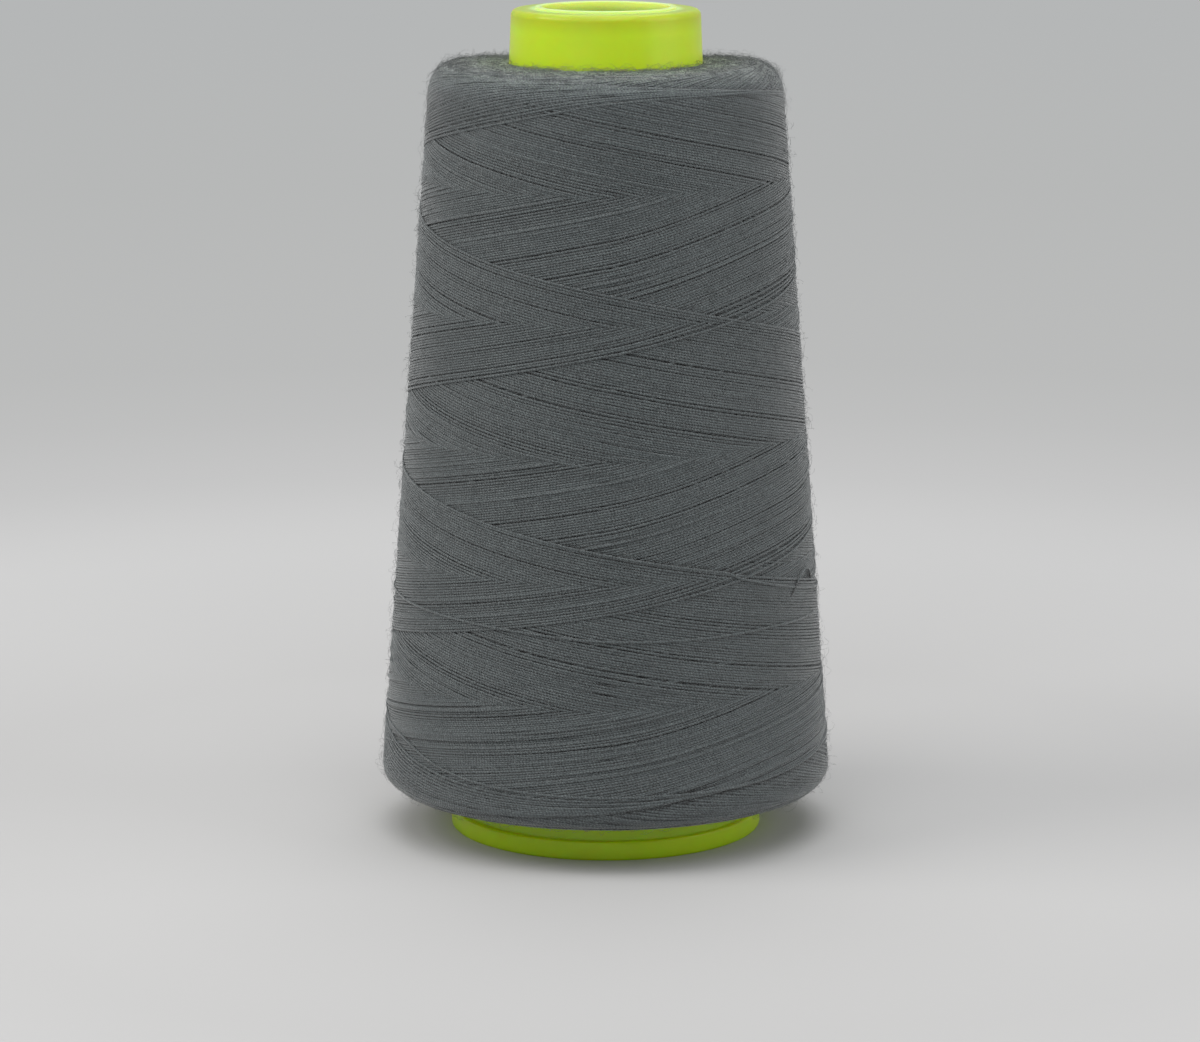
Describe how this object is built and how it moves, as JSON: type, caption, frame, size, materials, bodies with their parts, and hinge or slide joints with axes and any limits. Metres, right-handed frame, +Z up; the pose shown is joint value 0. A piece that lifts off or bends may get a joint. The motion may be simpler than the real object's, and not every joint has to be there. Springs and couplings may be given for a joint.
{
  "type": "spool of thread",
  "caption": "Cone of sewing thread: a tapered moulded plastic cone with a nose, a spindle hole and a foot ring, carrying a cross-wound package of thread.",
  "frame": {"origin": "centre of the foot ring's flat underside, where the cone stands", "axes": "+Z up the cone's axis from the foot to the nose, -Y towards the front"},
  "size_m": [0.0606, 0.0604, 0.112],
  "materials": {
    "cone_plastic": "moulded lime green, satin, slightly translucent",
    "sewing_thread": "spun polyester, dark bluish grey, matt with a fine fuzz"
  },
  "bodies": {
    "root": {"plastic_cone": "cone_plastic", "thread_package": "sewing_thread", "outer_winding": "sewing_thread"}
  },
  "joints": []
}
